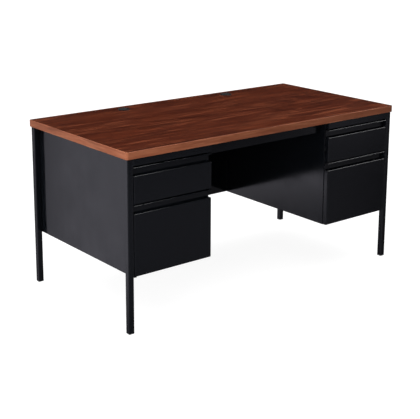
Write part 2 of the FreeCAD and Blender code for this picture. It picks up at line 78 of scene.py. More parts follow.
def make_camera():
    """A long lens at eye height, looking down at the desk over its front-left corner."""
    data = bpy.data.cameras.new("camera")
    data.lens = CAMERA_LENS
    data.shift_y = CAMERA_SHIFT
    data.dof.use_dof = False
    camera = bpy.data.objects.new("camera", data)
    bpy.context.scene.collection.objects.link(camera)
    level = math.cos(CAMERA_PITCH)
    forward = Vector((math.sin(CAMERA_TURN) * level, math.cos(CAMERA_TURN) * level, -math.sin(CAMERA_PITCH)))
    upright = forward.to_track_quat("-Z", "Y").to_matrix()
    turn = upright @ Matrix.Rotation(CAMERA_ROLL, 3, "Z")
    camera.matrix_world = Matrix.Translation(CENTRE + CAMERA_AIM - forward * CAMERA_DISTANCE) @ turn.to_4x4()
    bpy.context.scene.camera = camera


make_camera()

# ------------------------------------------------------------ node helpers


def add(tree, kind, sockets=None, **settings):
    """A new node with its settings and its inputs, each a value or another node's output."""
    made = tree.nodes.new(kind)
    for name, value in settings.items():
        setattr(made, name, value)
    for name, value in (sockets or {}).items():
        if isinstance(value, bpy.types.NodeSocket):
            tree.links.new(value, made.inputs[name])
        else:
            made.inputs[name].default_value = value
    return made


def place(tree, stretch=(1, 1, 1), shift=(0, 0, 0), source=None):
    """The point on the piece in metres, moved and stretched."""
    if source is None:
        source = add(tree, "ShaderNodeTexCoord").outputs["Object"]
    return add(tree, "ShaderNodeMapping", {"Vector": source, "Location": shift, "Scale": stretch}).outputs[0]


def noise(tree, vector, scale=1.0, detail=2.0, roughness=0.5):
    """Soft random values, mostly between 0.3 and 0.7."""
    return add(tree, "ShaderNodeTexNoise", {
        "Vector": vector, "Scale": scale, "Detail": detail, "Roughness": roughness,
    }).outputs["Fac"]


def remap(tree, value, low, high, to_low=0.0, to_high=1.0):
    """Value from low..high to to_low..to_high, held at both ends."""
    return add(tree, "ShaderNodeMapRange", {
        "Value": value, "From Min": low, "From Max": high, "To Min": to_low, "To Max": to_high,
    }, clamp=True).outputs["Result"]


def math_node(tree, operation, first, second=0.0):
    """The result of a sum on one or two values."""
    return add(tree, "ShaderNodeMath", {0: first, 1: second}, operation=operation).outputs[0]


def product(tree, first, second):
    """Two values multiplied."""
    return math_node(tree, "MULTIPLY", first, second)


def total(tree, first, second):
    """Two values added."""
    return math_node(tree, "ADD", first, second)


def vector_node(tree, operation, first, second=(0.0, 0.0, 0.0), output="Vector"):
    """The result of a sum on one or two vectors."""
    return add(tree, "ShaderNodeVectorMath", {0: first, 1: second}, operation=operation).outputs[output]


def mix(tree, factor, first, second):
    """A colour between two. A mix node's colour sockets share names with others, so they go by number."""
    made = add(tree, "ShaderNodeMix", {"Factor": factor}, data_type="RGBA")
    for index, value in ((6, first), (7, second)):
        if isinstance(value, bpy.types.NodeSocket):
            tree.links.new(value, made.inputs[index])
        else:
            made.inputs[index].default_value = (*value, 1.0)
    return made.outputs[2]


def bump(tree, height, depth):
    """Normals of a surface whose height goes from 0 to depth, in metres."""
    return add(tree, "ShaderNodeBump", {"Height": height, "Distance": depth}).outputs["Normal"]


def new_material(name):
    """A material with one Principled shader, and its node tree."""
    material = bpy.data.materials.new(name)
    material.use_nodes = True
    tree = material.node_tree
    shader = next(n for n in tree.nodes if n.type == "BSDF_PRINCIPLED")
    return material, tree, shader


def connect(tree, shader, **sockets):
    """Sets the shader's inputs; underscores in a name stand for spaces."""
    for name, value in sockets.items():
        target = shader.inputs[name.replace("_", " ")]
        if isinstance(value, bpy.types.NodeSocket):
            tree.links.new(value, target)
        elif isinstance(value, tuple):
            target.default_value = (*value, 1.0)
        else:
            target.default_value = value


def near_edge(tree, reach):
    """1 on the edges and folds of a piece, 0 further than reach from them."""
    eased = add(tree, "ShaderNodeBevel", {"Radius": reach}, samples=4).outputs[0]
    plain = add(tree, "ShaderNodeNewGeometry").outputs["Normal"]
    return remap(tree, vector_node(tree, "DOT_PRODUCT", eased, plain, "Value"), 0.995, 0.90)


# ------------------------------------------------------------ finishes

ORANGE_PEEL = 0.01 * MM     # depth of the paint's ripple
RUB_REACH = 1.2 * MM        # how far from an edge the paint is rubbed
DUST = 0.35                 # share of paler paint under dust
SCUFFS = 0.3                # share of worn paint along edges


def paint(name, colour, gloss, peel=1.0):
    """Powder coat: fine orange peel, faint dust and hand marks, paler where edges and corners rub."""
    material, tree, shader = new_material(name)
    point = place(tree)
    cells = noise(tree, point, scale=520, detail=2)
    swells = noise(tree, point, scale=90, detail=1)
    marks = noise(tree, point, scale=9, detail=5, roughness=0.62)
    streaks = noise(tree, place(tree, (60, 60, 4)), detail=3)
    rubbed = product(tree, near_edge(tree, RUB_REACH), remap(tree, marks, 0.35, 0.65))
    dusty = remap(tree, marks, 0.42, 0.75)
    pale = tuple(0.0015 + 1.5 * part for part in colour)
    worn = tuple(0.03 + 2.0 * part for part in colour)
    shade = mix(tree, product(tree, dusty, DUST), colour, pale)
    shade = mix(tree, product(tree, rubbed, SCUFFS), shade, worn)
    rough = total(tree, remap(tree, marks, 0.3, 0.7, gloss - 0.03, gloss + 0.05),
                  remap(tree, streaks, 0.4, 0.8, 0.0, 0.03))
    height = total(tree, product(tree, cells, 0.35), swells)
    connect(tree, shader, Base_Color=shade, Roughness=rough, IOR=1.5,
            Normal=bump(tree, height, ORANGE_PEEL * peel))
    return material


# the patterns in the wood: waves per metre along and across the grain, offset, detail, roughness
GRAIN = {
    "drift": (1.3, 4.0, (0, 0, 0), 2, 0.5),         # the slow bending of all the others
    "growth": (0.55, 4.2, (3.1, 0, 0), 2, 0.4),     # the tree's rings, cut lengthwise
    "figure": (1.1, 16, (3.1, 0, 0), 3, 0.6),       # wide light and dark bands
    "streak": (3.4, 62, (0, 1.7, 0), 4, 0.7),       # narrow ones
    "broken": (3.4, 56, (7.7, 0, 0), 3, 0.6),       # where the rings show
    "lines": (3.2, 105, (1.9, 0, 0), 3, 0.65),      # thin light lines
    "pores": (26, 1300, (0, 0, 0), 1, 0.5),
}
GRAIN_SWAY = 0.018          # how far the grain bends to each side, in metres
RING_TURNS = 95.0           # radians of ring from one end of the growth pattern's range to the other
LATE_WOOD, EARLY_WOOD, LIGHT_LINES, PORES = 0.40, 0.35, 0.72, 0.6    # strength of each marking
PORE_DEPTH = 0.04 * MM


def grain(tree, pattern, source):
    """One pattern of the wood."""
    along, across, offset, detail, roughness = GRAIN[pattern]
    point = place(tree, (along, across, across), offset, source)
    return noise(tree, point, detail=detail, roughness=roughness)


def wood(name, dark, light, fleck, gloss, attribute=None):
    """Printed wood laminate: growth rings cut lengthwise, streaks and pores.

    They run along X, or as the mesh's attribute says."""
    material, tree, shader = new_material(name)
    if attribute is None:
        source = add(tree, "ShaderNodeTexCoord").outputs["Object"]
    else:
        source = add(tree, "ShaderNodeAttribute", attribute_name=attribute).outputs["Vector"]
    drift = remap(tree, grain(tree, "drift", source), 0.0, 1.0, -GRAIN_SWAY, GRAIN_SWAY)
    bent = vector_node(tree, "ADD", source, add(tree, "ShaderNodeCombineXYZ", {"Y": drift}).outputs[0])
    rings = math_node(tree, "SINE", product(tree, grain(tree, "growth", bent), RING_TURNS))
    streak = grain(tree, "streak", bent)
    broken = grain(tree, "broken", bent)
    tone = total(tree, product(tree, grain(tree, "figure", bent), 0.35), product(tree, streak, 0.65))
    shade = mix(tree, remap(tree, tone, 0.38, 0.62), dark, light)
    late = product(tree, remap(tree, rings, 0.62, 0.98), remap(tree, broken, 0.45, 0.60))
    shade = mix(tree, product(tree, late, LATE_WOOD), shade, fleck)
    shade = mix(tree, remap(tree, grain(tree, "lines", bent), 0.55, 0.64, 0.0, LIGHT_LINES), shade, fleck)
    deep = tuple(0.35 * part for part in dark)
    early = product(tree, remap(tree, rings, -0.50, -0.98), remap(tree, broken, 0.60, 0.44))
    shade = mix(tree, product(tree, early, EARLY_WOOD), shade, deep)
    pore = remap(tree, grain(tree, "pores", bent), 0.60, 0.70)
    shade = mix(tree, product(tree, pore, PORES), shade, deep)
    wipes = noise(tree, place(tree, (6, 7, 7), source=source), detail=4, roughness=0.6)
    rough = total(tree, remap(tree, wipes, 0.3, 0.7, gloss - 0.03, gloss + 0.04), product(tree, pore, 0.12))
    height = math_node(tree, "SUBTRACT", product(tree, streak, 0.3), pore)
    connect(tree, shader, Base_Color=shade, Roughness=rough, IOR=1.45, Specular_IOR_Level=0.25,
            Normal=bump(tree, height, PORE_DEPTH))
    return material


def chipboard(name):
    """Pressed wood chips and dust."""
    material, tree, shader = new_material(name)
    chips = add(tree, "ShaderNodeTexVoronoi", {"Vector": place(tree, (260, 340, 700)), "Scale": 1.0},
                feature="F1")
    tint = add(tree, "ShaderNodeSeparateColor", {"Color": chips.outputs["Color"]}).outputs["Red"]
    dust = noise(tree, place(tree), scale=900, detail=2)
    shade = mix(tree, tint, (0.42, 0.27, 0.14), (0.70, 0.53, 0.33))
    shade = mix(tree, remap(tree, dust, 0.3, 0.7, 0.0, 0.35), shade, (0.30, 0.19, 0.10))
    connect(tree, shader, Base_Color=shade, Roughness=0.85, IOR=1.45,
            Normal=bump(tree, chips.outputs["Distance"], 0.2 * MM))
    return material


def zinc(name, colour, gloss):
    """Zinc-plated steel: rolling lines along the length, clouded by passivation and grease."""
    material, tree, shader = new_material(name)
    lines = noise(tree, place(tree, (900, 5, 900)), detail=2)
    cloud = noise(tree, place(tree), scale=22, detail=4, roughness=0.6)
    warm = tuple(part * factor for part, factor in zip(colour, (0.86, 0.80, 0.66)))
    shade = mix(tree, remap(tree, cloud, 0.35, 0.75, 0.0, 0.7), colour, warm)
    rough = total(tree, remap(tree, cloud, 0.3, 0.7, gloss - 0.04, gloss + 0.10), product(tree, lines, 0.08))
    connect(tree, shader, Base_Color=shade, Metallic=1.0, Roughness=rough,
            Normal=bump(tree, lines, 0.02 * MM))
    return material


def plastic(name, colour, gloss, dust):
    """Moulded plastic with a fine spark-eroded texture; what faces up takes a paler colour, partly dust and
    partly painted top light, so sides and hollows stay dark as painted shade.
    """
    material, tree, shader = new_material(name)
    speckle = noise(tree, place(tree), scale=1500, detail=2)
    marks = noise(tree, place(tree), scale=45, detail=4, roughness=0.6)
    pale = tuple(0.01 + 1.6 * part for part in colour)
    shade = mix(tree, remap(tree, marks, 0.45, 0.8, 0.0, 0.5), colour, pale)
    normal = add(tree, "ShaderNodeNewGeometry").outputs["Normal"]
    upwards = add(tree, "ShaderNodeSeparateXYZ", {"Vector": normal}).outputs["Z"]
    # up-facing faces get the paler colour: partly settled dust, partly painted light from above; the sides
    # and the inside of the cap's slot stay darker as painted shade
    lit_top_and_dust = product(tree, remap(tree, upwards, 0.75, 0.98), remap(tree, marks, 0.1, 0.5, 0.7, 1.0))
    shade = mix(tree, lit_top_and_dust, shade, dust)
    connect(tree, shader, Base_Color=shade, IOR=1.5,
            Roughness=remap(tree, marks, 0.3, 0.7, gloss - 0.05, gloss + 0.08),
            Normal=bump(tree, speckle, 0.04 * MM))
    return material


# colours are linear; wood has a dark, a light and a marking colour, plastic its colour and the colour of its
# up-facing faces (dust and painted top light), and the other number is the surface's roughness
FINISHES = {
    "walnut_laminate": wood("walnut_laminate", (0.060, 0.0100, 0.0033), (0.113, 0.0215, 0.0074),
                            (0.250, 0.066, 0.026), 0.36),
    "edge_band": wood("edge_band", (0.232, 0.070, 0.033), (0.350, 0.118, 0.058),
                      (0.450, 0.170, 0.088), 0.48, attribute="along"),
    "particleboard": chipboard("particleboard"),
    "backer_sheet": plastic("backer_sheet", (0.10, 0.075, 0.06), 0.6, (0.11, 0.09, 0.08)),
    "black_paint": paint("black_paint", (0.0034, 0.0041, 0.0056), 0.12),
    "drawer_steel": paint("drawer_steel", (0.0070, 0.0070, 0.0080), 0.38, peel=0.6),
    "slide_steel": zinc("slide_steel", (0.60, 0.60, 0.61), 0.30),
    "bearing_cage": zinc("bearing_cage", (0.66, 0.62, 0.52), 0.26),
    "zinc_screws": zinc("zinc_screws", (0.62, 0.62, 0.60), 0.28),
    # the caps' up-facing tops are painted paler as dust and painted top light, which leaves the slot's inside
    # dark as painted shade
    "black_plastic": plastic("black_plastic", (0.008, 0.008, 0.009), 0.42, (0.037, 0.037, 0.037)),
    "glide_plastic": plastic("glide_plastic", (0.010, 0.010, 0.010), 0.48, (0.020, 0.020, 0.020)),
}
SLOTS = {row["node"]: row["material_slot"] for row in frame["record"]["subparts"]}
BODIES = {node: body for body, nodes in frame["record"]["behaviour"]["bodies"].items() for node in nodes}
for node_name, node_object in frame["nodes"].items():
    for node_slot in node_object.material_slots:
        node_slot.material = FINISHES[SLOTS[node_name]]

# ------------------------------------------------------------ mesh helpers

SHEET = 1.2 * MM
TRAY_SHEET = 1.0 * MM
BEND = 2.3 * MM             # radius of the middle of the sheet in a fold
TIGHT_BEND = 1.5 * MM
FOLD_STEPS = 6
SET_BACK_REACH = 1.4        # how far behind the front a rounded end reaches, in its own radius
CUT_EDGE = 0.2 * MM         # rounding of cut edges
SHARP_FOLD = math.radians(50)       # edges that fold more than this are rounded
SMOOTH_UP_TO = math.radians(32)     # edges that fold less than this are shaded smooth
MERGE = 1e-6                # points nearer than this are one point
ROUND_STEPS = 5             # in a turned shape's rounded edge
QUARTERS = ((1, 1), (-1, 1), (-1, -1), (1, -1))     # the signs of x and y, a quarter turn at a time


def rounded_line(points, radius):
    """A line with its corners rounded: each point with the unit normal on its left."""
    points = [Vector(point) for point in points]
    runs = [(end - start).normalized() for start, end in zip(points, points[1:])]
    normals = [Vector((-run.y, run.x)) for run in runs]
    line = [(points[0], normals[0])]
    for corner, run, normal, next_run in zip(points[1:], runs, normals, runs[1:]):
        turn = math.atan2(run.x * next_run.y - run.y * next_run.x, run.dot(next_run))
        side = math.copysign(1, turn)
        centre = corner - run * radius * math.tan(abs(turn) / 2) + normal * radius * side
        for step in range(FOLD_STEPS + 1):
            across = Matrix.Rotation(turn * step / FOLD_STEPS, 2) @ normal
            line.append((centre - across * radius * side, across))
    line.append((points[-1], normals[-1]))
    return line


def stations(span, corner, far_corner):
    """Places along a folded sheet, each with how far its front is rounded back at that place."""
    places = []
    for edge, inwards, radius in ((min(span), 1, corner), (max(span), -1, far_corner)):
        ends = []
        for step in range(FOLD_STEPS + 1 if radius else 1):
            angle = math.pi / 2 * step / FOLD_STEPS
            ends.append((edge + inwards * radius * (1 - math.cos(angle)), radius * (1 - math.sin(angle))))
        places += ends[::inwards]
    return places


def set_back(depth, front, inset, reach):
    """A depth moved back by inset at the front, and by less and less up to reach behind it."""
    if depth >= front + reach:
        return depth
    return front + inset + (depth - front) * (1 - inset / reach)


def folded_sheet(bm, points, span, along="x", sheet=SHEET, radius=BEND, corner=0.0, far_corner=None):
    """Adds a sheet folded along points, which lie in the plane across its length.

    The plane is YZ for a sheet along x and XZ for one along y. With a corner, the sheet's face
    also turns back with that radius at both ends, unless far_corner gives the far end its own."""
    line = rounded_line(points, radius)
    skins = [[point + across * sheet / 2 * side for point, across in line] for side in (1, -1)]
    fronts = [min(point.x for point in skin) for skin in skins]
    if far_corner is None:
        far_corner = corner
    reach = max(corner, far_corner) * SET_BACK_REACH
    rings = []
    for position, inset in stations(span, corner, far_corner):
        ring = []
        for skin, front in zip((skins[0], skins[1][::-1]), fronts):
            for point in skin:
                depth = set_back(point.x, front, inset, reach) if inset else point.x
                place_3d = (position, depth, point.y) if along == "x" else (depth, position, point.y)
                ring.append(bm.verts.new(place_3d))
        rings.append(ring)
    count = len(rings[0])
    for ring, next_ring in zip(rings, rings[1:]):
        for index in range(count):
            after = (index + 1) % count
            bm.faces.new((ring[index], ring[after], next_ring[after], next_ring[index]))
    for ring in (rings[0], rings[-1]):
        for index in range(len(line) - 1):
            bm.faces.new((ring[index], ring[index + 1], ring[count - 2 - index], ring[count - 1 - index]))


def plate(bm, low, high):
    """Adds a flat plate between two corners."""
    size = Vector(high) - Vector(low)
    middle = (Vector(high) + Vector(low)) / 2
    bmesh.ops.create_cube(bm, size=1.0, matrix=Matrix.Translation(middle) @ Matrix.Diagonal((*size, 1.0)))


def lathe(bm, profile, centre, segments):
    """Adds an upright turned shape: profile is (radius, height), closed on the axis or on itself."""
    rings = []
    for radius, height in profile:
        ring = []
        for step in range(segments if radius > 0 else 1):
            angle = math.tau * step / segments
            offset = Vector((radius * math.cos(angle), radius * math.sin(angle), height))
            ring.append(bm.verts.new(Vector(centre) + offset))
        rings.append(ring)
    for ring, next_ring in zip(rings, rings[1:]):
        for step in range(segments):
            corners = [ring[step % len(ring)], ring[(step + 1) % segments % len(ring)],
                       next_ring[(step + 1) % segments % len(next_ring)], next_ring[step % len(next_ring)]]
            bm.faces.new(list(dict.fromkeys(corners)))


def rounded_square(half, corner):
    """The outline of a square with rounded corners, about the origin."""
    outline = []
    for quarter, (sx, sy) in enumerate(QUARTERS):
        for step in range(FOLD_STEPS + 1):
            angle = math.pi / 2 * (quarter + step / FOLD_STEPS)
            outline.append(((half - corner) * sx + corner * math.cos(angle),
                            (half - corner) * sy + corner * math.sin(angle)))
    return outline


def loft(bm, layers, centre):
    """Joins outlines of equal length, each with its height: a solid, or a tube if the first is the last."""
    rings = [[bm.verts.new((centre.x + x, centre.y + y, height)) for x, y in outline]
             for outline, height in layers]
    for ring, next_ring in zip(rings, rings[1:]):
        for index in range(len(ring)):
            after = (index + 1) % len(ring)
            bm.faces.new((ring[index], ring[after], next_ring[after], next_ring[index]))
    if layers[0] != layers[-1]:
        bm.faces.new(rings[0])
        bm.faces.new(rings[-1])


def quarter_round(radius, height, edge):
    """Profile points that round the upper outer edge of a turned shape."""
    turns = [math.pi / 2 * step / ROUND_STEPS for step in range(ROUND_STEPS + 1)]
    return [(radius - edge + edge * math.cos(turn), height - edge + edge * math.sin(turn)) for turn in turns]


def stand_in(node, bm, edge=CUT_EDGE):
    """The mesh as the shown shape of a CAD node, on its body and with its finish; cut edges are rounded."""
    name, body, slot = node + "_piece", BODIES[node], SLOTS[node]
    bmesh.ops.remove_doubles(bm, verts=bm.verts, dist=MERGE)
    bmesh.ops.recalc_face_normals(bm, faces=bm.faces)
    mesh = bpy.data.meshes.new(name)
    bm.to_mesh(mesh)
    bm.free()
    mesh.shade_smooth()
    mesh.set_sharp_from_angle(angle=SMOOTH_UP_TO)
    mesh.materials.append(FINISHES[slot])
    piece = bpy.data.objects.new(name, mesh)
    bpy.context.scene.collection.objects.link(piece)
    if edge:
        rounding = piece.modifiers.new("cut_edges", "BEVEL")
        rounding.limit_method = "ANGLE"
        rounding.angle_limit = SHARP_FOLD
        rounding.width = edge
        rounding.segments = 2
        rounding.use_clamp_overlap = True
    normals = piece.modifiers.new("flat_faces", "WEIGHTED_NORMAL")
    normals.keep_sharp = True
    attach(piece, body)
    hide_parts(node)


# ------------------------------------------------------------ worktop

BAND_ROUND = 1.2 * MM
BAND_ROUND_STEPS = 4
BAND_THICKNESS = 3 * MM
WORKTOP_CORNER = 10 * MM
CORNER_STEPS = 12


def make_edge_band():
    """The band round the worktop, with eased edges; its grain follows the edge."""
    low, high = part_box("edge_band")
    path = []
    for quarter, (sx, sy) in enumerate(QUARTERS):
        centre = Vector(((high.x - WORKTOP_CORNER) * sx, (high.y - WORKTOP_CORNER) * sy, 0))
        for step in range(CORNER_STEPS + 1):
            angle = math.pi / 2 * (quarter + step / CORNER_STEPS)
            outwards = Vector((math.cos(angle), math.sin(angle), 0))
            path.append((centre + outwards * WORKTOP_CORNER, outwards))
    section = []
    for middle_z, start in ((low.z + BAND_ROUND, -math.pi / 2), (high.z - BAND_ROUND, 0.0)):
        for step in range(BAND_ROUND_STEPS + 1):
            angle = start + math.pi / 2 * step / BAND_ROUND_STEPS
            section.append((-BAND_ROUND + BAND_ROUND * math.cos(angle),
                            middle_z + BAND_ROUND * math.sin(angle)))
    section += [(-BAND_THICKNESS, high.z), (-BAND_THICKNESS, low.z)]
    bm = bmesh.new()
    along = bm.verts.layers.float_vector.new("along")
    rings = []
    travelled = 0.0
    last = path[0][0]
    for edge, outwards in path + path[:1]:
        travelled += (edge - last).length
        last = edge
        ring = []
        for depth, z in section:
            vertex = bm.verts.new((edge.x + outwards.x * depth, edge.y + outwards.y * depth, z))
            vertex[along] = (travelled, z, depth)
            ring.append(vertex)
        rings.append(ring)
    count = len(section)
    for ring, next_ring in zip(rings, rings[1:]):
        for index in range(count):
            after = (index + 1) % count
            bm.faces.new((ring[index], ring[after], next_ring[after], next_ring[index]))
    stand_in("edge_band", bm, edge=0)


def separate_solids(node):
    """The lowest and highest corner of each solid in a CAD node."""
    bm = bmesh.new()
    bm.from_mesh(frame["nodes"][node].data)
    bmesh.ops.remove_doubles(bm, verts=bm.verts, dist=MERGE)
    found, seen = [], set()
    for start in bm.verts:
        if start in seen:
            continue
        seen.add(start)
        group, queue = [], [start]
        while queue:
            vertex = queue.pop()
            group.append(vertex.co.copy())
            for edge in vertex.link_edges:
                other = edge.other_vert(vertex)
                if other not in seen:
                    seen.add(other)
                    queue.append(other)
        found.append(tuple(Vector(pick(point[axis] for point in group) for axis in range(3))
                           for pick in (min, max)))
    bm.free()
    return found


# turned profiles of a screw, (radius, height) in millimetres, from the top down
WASHER = ((0, 0.9), (4.0, 0.9), (4.0, 0.3), (3.7, 0), (0, 0))
WASHER_START = 1.6 * MM
HEXAGON = ((0, 1.8), (2.9, 1.8), (2.9, 0.4), (2.5, 0), (0, 0))
SHANK, TIP, TIP_LENGTH, SHANK_START = 2.0 * MM, 0.4 * MM, 3 * MM, 2.4 * MM
WASHER_SIDES, HEXAGON_SIDES, SHANK_SIDES = 24, 6, 16


def make_worktop_screws():
    """Hexagon washer-head screws up through the flanges."""
    bm = bmesh.new()
    for low, high in separate_solids("worktop_screws"):
        middle = (low + high) / 2
        length = high.z - low.z
        foot = (middle.x, middle.y, low.z)
        lathe(bm, [(radius * MM, height * MM) for radius, height in WASHER],
              (middle.x, middle.y, low.z + WASHER_START), WASHER_SIDES)
        lathe(bm, [(radius * MM, height * MM) for radius, height in HEXAGON], foot, HEXAGON_SIDES)
        lathe(bm, [(0, length), (TIP, length), (SHANK, length - TIP_LENGTH), (SHANK, SHANK_START),
                   (0, SHANK_START)], foot, SHANK_SIDES)
    stand_in("worktop_screws", bm, edge=0)


# ------------------------------------------------------------ cable grommets

FLANGE = 2 * MM             # height of the sleeve's flange over the worktop, and of the cap over the flange
SLEEVE_BORE = 23.7 * MM
SLEEVE_OUTSIDE = 25.3 * MM
CAP_RADIUS = 26.4 * MM
SPIGOT_OUTSIDE = 23.4 * MM
SPIGOT_INSIDE = 21.9 * MM
SLOT_START = 7 * MM
HALF_SLOT = 8 * MM
SLOT_STEPS, SPIGOT_STEPS, RIM_STEPS = 12, 48, 72
CAP_TURN = math.radians(-50)        # where the slot points at rest
CAP_EDGE = 0.5 * MM
SLEEVE_EDGE = 0.8 * MM


def arc(radius, start, end, steps):
    """Points on a circle about the origin."""
    turns = [start + (end - start) * step / steps for step in range(steps + 1)]
    return [(radius * math.cos(turn), radius * math.sin(turn)) for turn in turns]


def make_grommet(side):
    """A flanged sleeve in the worktop, and the cap that turns in it, with a rounded slot for cables."""
    node = "grommet_sleeve_" + side
    low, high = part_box(node)
    centre = (low + high) / 2
    rim, under = high.x - centre.x, high.z - FLANGE
    bm = bmesh.new()
    lathe(bm, [(SLEEVE_BORE, low.z), (SLEEVE_OUTSIDE, low.z), (SLEEVE_OUTSIDE, under), (rim, under),
               *quarter_round(rim, high.z, SLEEVE_EDGE), (SLEEVE_BORE, high.z), (SLEEVE_BORE, low.z)],
          (centre.x, centre.y, 0), RIM_STEPS)
    stand_in(node, bm)

    node = "grommet_cap_" + side
    low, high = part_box(node)
    turn = Matrix.Rotation(CAP_TURN, 2)
    notch = SLOT_START + HALF_SLOT      # the slot's inner end is a half circle
    opening = math.asin(HALF_SLOT / CAP_RADIUS)
    end = [(notch - HALF_SLOT * math.cos(angle), HALF_SLOT * math.sin(angle))
           for angle in (math.pi * (step / SLOT_STEPS - 0.5) for step in range(SLOT_STEPS + 1))]
    disc = arc(CAP_RADIUS, opening, math.tau - opening, RIM_STEPS) + end
    outer = math.asin(HALF_SLOT / SPIGOT_OUTSIDE)
    inner = math.asin(HALF_SLOT / SPIGOT_INSIDE)
    wall = (arc(SPIGOT_OUTSIDE, outer, math.tau - outer, SPIGOT_STEPS)
            + arc(SPIGOT_INSIDE, math.tau - inner, inner, SPIGOT_STEPS))
    bm = bmesh.new()
    for outline, bottom, top in ((disc, high.z - FLANGE, high.z), (wall, low.z, high.z - FLANGE / 2)):
        outline = [tuple(turn @ Vector(point)) for point in outline]
        loft(bm, [(outline, bottom), (outline, top)], centre)
    stand_in(node, bm, edge=CAP_EDGE)


# ------------------------------------------------------------ legs

LEG_WALL = 1.6 * MM
LEG_CORNER = 3.8 * MM
GLIDE_HEIGHT = 6 * MM
GLIDE_ROUND = 1.5 * MM
PLUG_SLACK = 0.1 * MM


def make_leg(node):
    """A square steel tube with rounded corners."""
    low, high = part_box(node)
    half = (high.x - low.x) / 2
    outside = rounded_square(half, LEG_CORNER)
    inside = rounded_square(half - LEG_WALL, LEG_CORNER - LEG_WALL)
    bm = bmesh.new()
    loft(bm, [(outside, low.z), (outside, high.z), (inside, high.z), (inside, low.z), (outside, low.z)],
         (low + high) / 2)
    stand_in(node, bm)


def make_glides():
    """The plastic feet: a rounded pad under each leg and a plug inside it."""
    bm = bmesh.new()
    for low, high in separate_solids("leg_glides"):
        half = (high.x - low.x) / 2
        layers = []
        for step in range(FOLD_STEPS + 1):
            turn = math.pi / 2 * step / FOLD_STEPS
            inset = GLIDE_ROUND * (1 - math.sin(turn))
            layers.append((rounded_square(half - inset, LEG_CORNER - inset),
                           low.z + GLIDE_ROUND * (1 - math.cos(turn))))
        layers.append((rounded_square(half, LEG_CORNER), low.z + GLIDE_HEIGHT))
        plug = rounded_square(half - LEG_WALL - PLUG_SLACK, LEG_CORNER - LEG_WALL)
        layers += [(plug, low.z + GLIDE_HEIGHT), (plug, high.z)]
        loft(bm, layers, (low + high) / 2)
    stand_in("leg_glides", bm)


# ------------------------------------------------------------ case

LOWER_FLANGE = 15 * MM
HEADER_DROP = 2.3 * MM      # from the top of a header's face to the top of its trough
HEADER_END_GAP = 0.1 * MM   # how far a header's end plates stand inside its ends
PANEL_ROLL = 1.6 * MM       # rounding of the inner panels' front edge, clear of the ball cages


def make_channel(node, along, forwards, lower=LOWER_FLANGE, corner=0.0):
    """A panel or rail with a flange along its top and bottom edge.

    forwards is 1 if the flanges point to +X or +Y from its face, -1 if they point the other way.
    lower is how deep the lower flange is, or 0 if it is as deep as the upper one."""
    low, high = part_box(node)
    axis, run = (1, 0) if along == "x" else (0, 1)
    face, back = sorted((low[axis] * forwards, high[axis] * forwards))
    lower_back = face + lower if lower else back
    half = SHEET / 2
    bm = bmesh.new()
    folded_sheet(bm, [(lower_back, low.z + half), (face + half, low.z + half),
                      (face + half, high.z - half), (back, high.z - half)],
                 (low[run], high[run]), along, corner=corner, far_corner=0.0)
    flip = Vector((1, 1, 1))
    flip[axis] = forwards
    bmesh.ops.scale(bm, vec=flip, verts=bm.verts)
    stand_in(node, bm)


def make_header(side):
    """The rail over the drawers: a front face with a trough folded behind it, closed beside the knees."""
    node = "header_rail_" + side
    low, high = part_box(node)
    half = SHEET / 2
    trough_top = high.z - HEADER_DROP
    bm = bmesh.new()
    folded_sheet(bm, [(low.y + half, high.z), (low.y + half, low.z + half), (high.y - half, low.z + half),
                      (high.y - half, trough_top)], (low.x, high.x), corner=BEND)
    for edge, inwards in ((low.x, 1), (high.x, -1)):
        near, far = sorted((edge + HEADER_END_GAP * inwards, edge + SHEET * inwards))
        plate(bm, (near, low.y + BEND, low.z + SHEET), (far, high.y - SHEET, trough_top))
    stand_in(node, bm)


def make_base(side):
    """The sheet under a pedestal, turned up at the front."""
    node = "pedestal_base_" + side
    low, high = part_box(node)
    half = SHEET / 2
    bm = bmesh.new()
    folded_sheet(bm, [(low.y + half, high.z), (low.y + half, low.z + half), (high.y, low.z + half)],
                 (low.x, high.x))
    stand_in(node, bm)


def make_flat(node):
    """A flat sheet as large as the CAD's."""
    bm = bmesh.new()
    plate(bm, *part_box(node))
    stand_in(node, bm)


def make_case():
    """The kneehole's two sheets, and each pedestal's panels and rails."""
    make_channel("kneehole_rail", "x", 1)
    make_channel("modesty_panel", "x", 1)
    for side, sign in zip(SIDES, (-1, 1)):
        make_channel("end_panel_" + side, "y", -sign)
        make_channel("inner_panel_" + side, "y", sign, corner=PANEL_ROLL)
        make_channel("divider_rail_" + side, "x", 1, lower=0)
        make_header(side)
        make_base(side)
        make_flat("pedestal_back_" + side)


# ------------------------------------------------------------ drawers

HEM = 6 * MM
TROUGH_DROP = 12 * MM
LIP_DROP = 5 * MM
TRAY_LIP = 8 * MM
FRONT_END_GAP = 0.05 * MM   # how far a front's end plates stand inside its ends and back
FRONT_END_DROP = 0.4 * MM   # and inside its top and bottom


def make_front(kind, side):
    """The drawer's folded face and the plate behind it, which rises and comes forward as the pull."""
    half = SHEET / 2
    node = "%s_front_panel_%s" % (kind, side)
    low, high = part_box(node)
    hem = low.y + HEM - half
    trough = high.z - TROUGH_DROP - half
    bm = bmesh.new()
    folded_sheet(bm, [(high.y, low.z + half), (low.y + half, low.z + half), (low.y + half, high.z - half),
                      (hem, high.z - half), (hem, trough), (high.y, trough)],
                 (low.x, high.x), corner=BEND + half)
    for edge, inwards in ((low.x, 1), (high.x, -1)):
        near, far = sorted((edge + FRONT_END_GAP * inwards, edge + SHEET * inwards))
        plate(bm, (near, low.y + BEND + half, low.z + FRONT_END_DROP),
              (far, high.y - FRONT_END_GAP, high.z - FRONT_END_DROP))
    stand_in(node, bm)

    node = "%s_inner_front_%s" % (kind, side)
    low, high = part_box(node)
    bm = bmesh.new()
    folded_sheet(bm, [(high.y - half, low.z), (high.y - half, high.z - half), (low.y + half, high.z - half),
                      (low.y + half, high.z - LIP_DROP)], (low.x, high.x))
    stand_in(node, bm)


